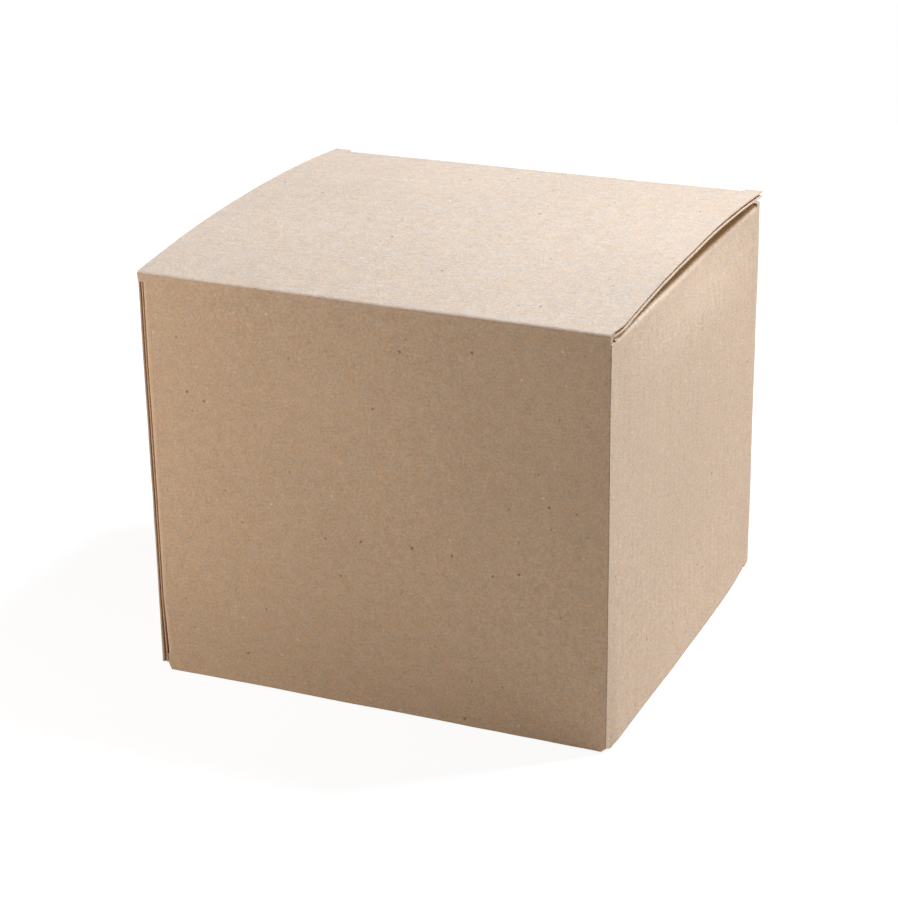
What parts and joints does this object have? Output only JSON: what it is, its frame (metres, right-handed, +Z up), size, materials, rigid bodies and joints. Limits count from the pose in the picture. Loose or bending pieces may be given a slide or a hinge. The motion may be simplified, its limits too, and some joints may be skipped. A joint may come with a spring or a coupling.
{
  "type": "mug box",
  "caption": "Corrugated kraft carton for a mug: walls joined by a glued seam, a tuck-in lid over folding dust flaps, and an interlocking snap-lock base.",
  "frame": {"origin": "centre of the footprint, on the surface that the box stands on", "axes": "+Z up, the front wall with the lid's hinge faces -Y, +X to the right of someone who faces the front wall"},
  "size_m": [0.12, 0.113, 0.108],
  "materials": {
    "outer_liner": "matte",
    "fluting": "matte",
    "inner_liner": "matte",
    "seam_glue": "satin"
  },
  "bodies": {
    "walls": {"front_wall_outer_liner": "outer_liner", "front_wall_fluting": "fluting", "front_wall_inner_liner": "inner_liner", "right_wall_outer_liner": "outer_liner", "right_wall_fluting": "fluting", "right_wall_inner_liner": "inner_liner", "back_wall_outer_liner": "outer_liner", "back_wall_fluting": "fluting", "back_wall_inner_liner": "inner_liner", "left_wall_outer_liner": "outer_liner", "left_wall_fluting": "fluting", "left_wall_inner_liner": "inner_liner", "glue_flap_outer_liner": "outer_liner", "glue_flap_fluting": "fluting", "glue_flap_inner_liner": "inner_liner", "seam_glue": "seam_glue"},
    "lid": {"lid_outer_liner": "outer_liner", "lid_fluting": "fluting", "lid_inner_liner": "inner_liner"},
    "tuck_flap": {"tuck_flap_outer_liner": "outer_liner", "tuck_flap_fluting": "fluting", "tuck_flap_inner_liner": "inner_liner"},
    "right_dust_flap": {"right_dust_flap_outer_liner": "outer_liner", "right_dust_flap_fluting": "fluting", "right_dust_flap_inner_liner": "inner_liner"},
    "left_dust_flap": {"left_dust_flap_outer_liner": "outer_liner", "left_dust_flap_fluting": "fluting", "left_dust_flap_inner_liner": "inner_liner"},
    "base_front_flap": {"base_front_flap_outer_liner": "outer_liner", "base_front_flap_fluting": "fluting", "base_front_flap_inner_liner": "inner_liner"},
    "base_lock_tongue": {"base_lock_tongue_outer_liner": "outer_liner", "base_lock_tongue_fluting": "fluting", "base_lock_tongue_inner_liner": "inner_liner"},
    "base_right_flap": {"base_right_flap_outer_liner": "outer_liner", "base_right_flap_fluting": "fluting", "base_right_flap_inner_liner": "inner_liner"},
    "base_left_flap": {"base_left_flap_outer_liner": "outer_liner", "base_left_flap_fluting": "fluting", "base_left_flap_inner_liner": "inner_liner"},
    "base_back_flap": {"base_back_flap_outer_liner": "outer_liner", "base_back_flap_fluting": "fluting", "base_back_flap_inner_liner": "inner_liner"}
  },
  "joints": [
    {"name": "lid_hinge", "type": "hinge", "parent": "walls", "child": "lid", "pos_m": [0, -0.0565, 0.106], "axis": [1, 0, 0], "range_deg": [0, 175]},
    {"name": "tuck_fold", "type": "hinge", "parent": "lid", "child": "tuck_flap", "pos_m": [0, 0.0545, 0.106], "axis": [1, 0, 0], "range_deg": [0, 87.5]},
    {"name": "right_dust_fold", "type": "hinge", "parent": "walls", "child": "right_dust_flap", "pos_m": [0.06, 0, 0.1042], "axis": [0, 1, 0], "range_deg": [0, 87.5]},
    {"name": "left_dust_fold", "type": "hinge", "parent": "walls", "child": "left_dust_flap", "pos_m": [-0.06, 0, 0.1042], "axis": [0, -1, 0], "range_deg": [0, 87.5]},
    {"name": "base_front_fold", "type": "hinge", "parent": "walls", "child": "base_front_flap", "pos_m": [0, -0.0565, 0], "axis": [-1, 0, 0], "range_deg": [0, 120]},
    {"name": "base_tongue_fold", "type": "hinge", "parent": "base_front_flap", "child": "base_lock_tongue", "pos_m": [0, 0.01029, 0], "axis": [-1, 0, 0], "range_deg": [0, 15]},
    {"name": "base_right_fold", "type": "hinge", "parent": "walls", "child": "base_right_flap", "pos_m": [0.06, 0, 0.0018], "axis": [0, -1, 0], "range_deg": [0, 120]},
    {"name": "base_left_fold", "type": "hinge", "parent": "walls", "child": "base_left_flap", "pos_m": [-0.06, 0, 0.0018], "axis": [0, 1, 0], "range_deg": [0, 120]},
    {"name": "base_back_fold", "type": "hinge", "parent": "walls", "child": "base_back_flap", "pos_m": [0, 0.0565, 0.0036], "axis": [1, 0, 0], "range_deg": [0, 60]}
  ],
  "couplings": [
    {"joint": "tuck_fold", "follows": "lid_hinge", "ratio": 0.5},
    {"joint": "right_dust_fold", "follows": "lid_hinge", "ratio": 0.5},
    {"joint": "left_dust_fold", "follows": "lid_hinge", "ratio": 0.5},
    {"joint": "base_tongue_fold", "follows": "base_front_fold", "ratio": 0.125},
    {"joint": "base_right_fold", "follows": "base_front_fold", "ratio": 1},
    {"joint": "base_left_fold", "follows": "base_front_fold", "ratio": 1},
    {"joint": "base_back_fold", "follows": "base_front_fold", "ratio": 0.5}
  ]
}
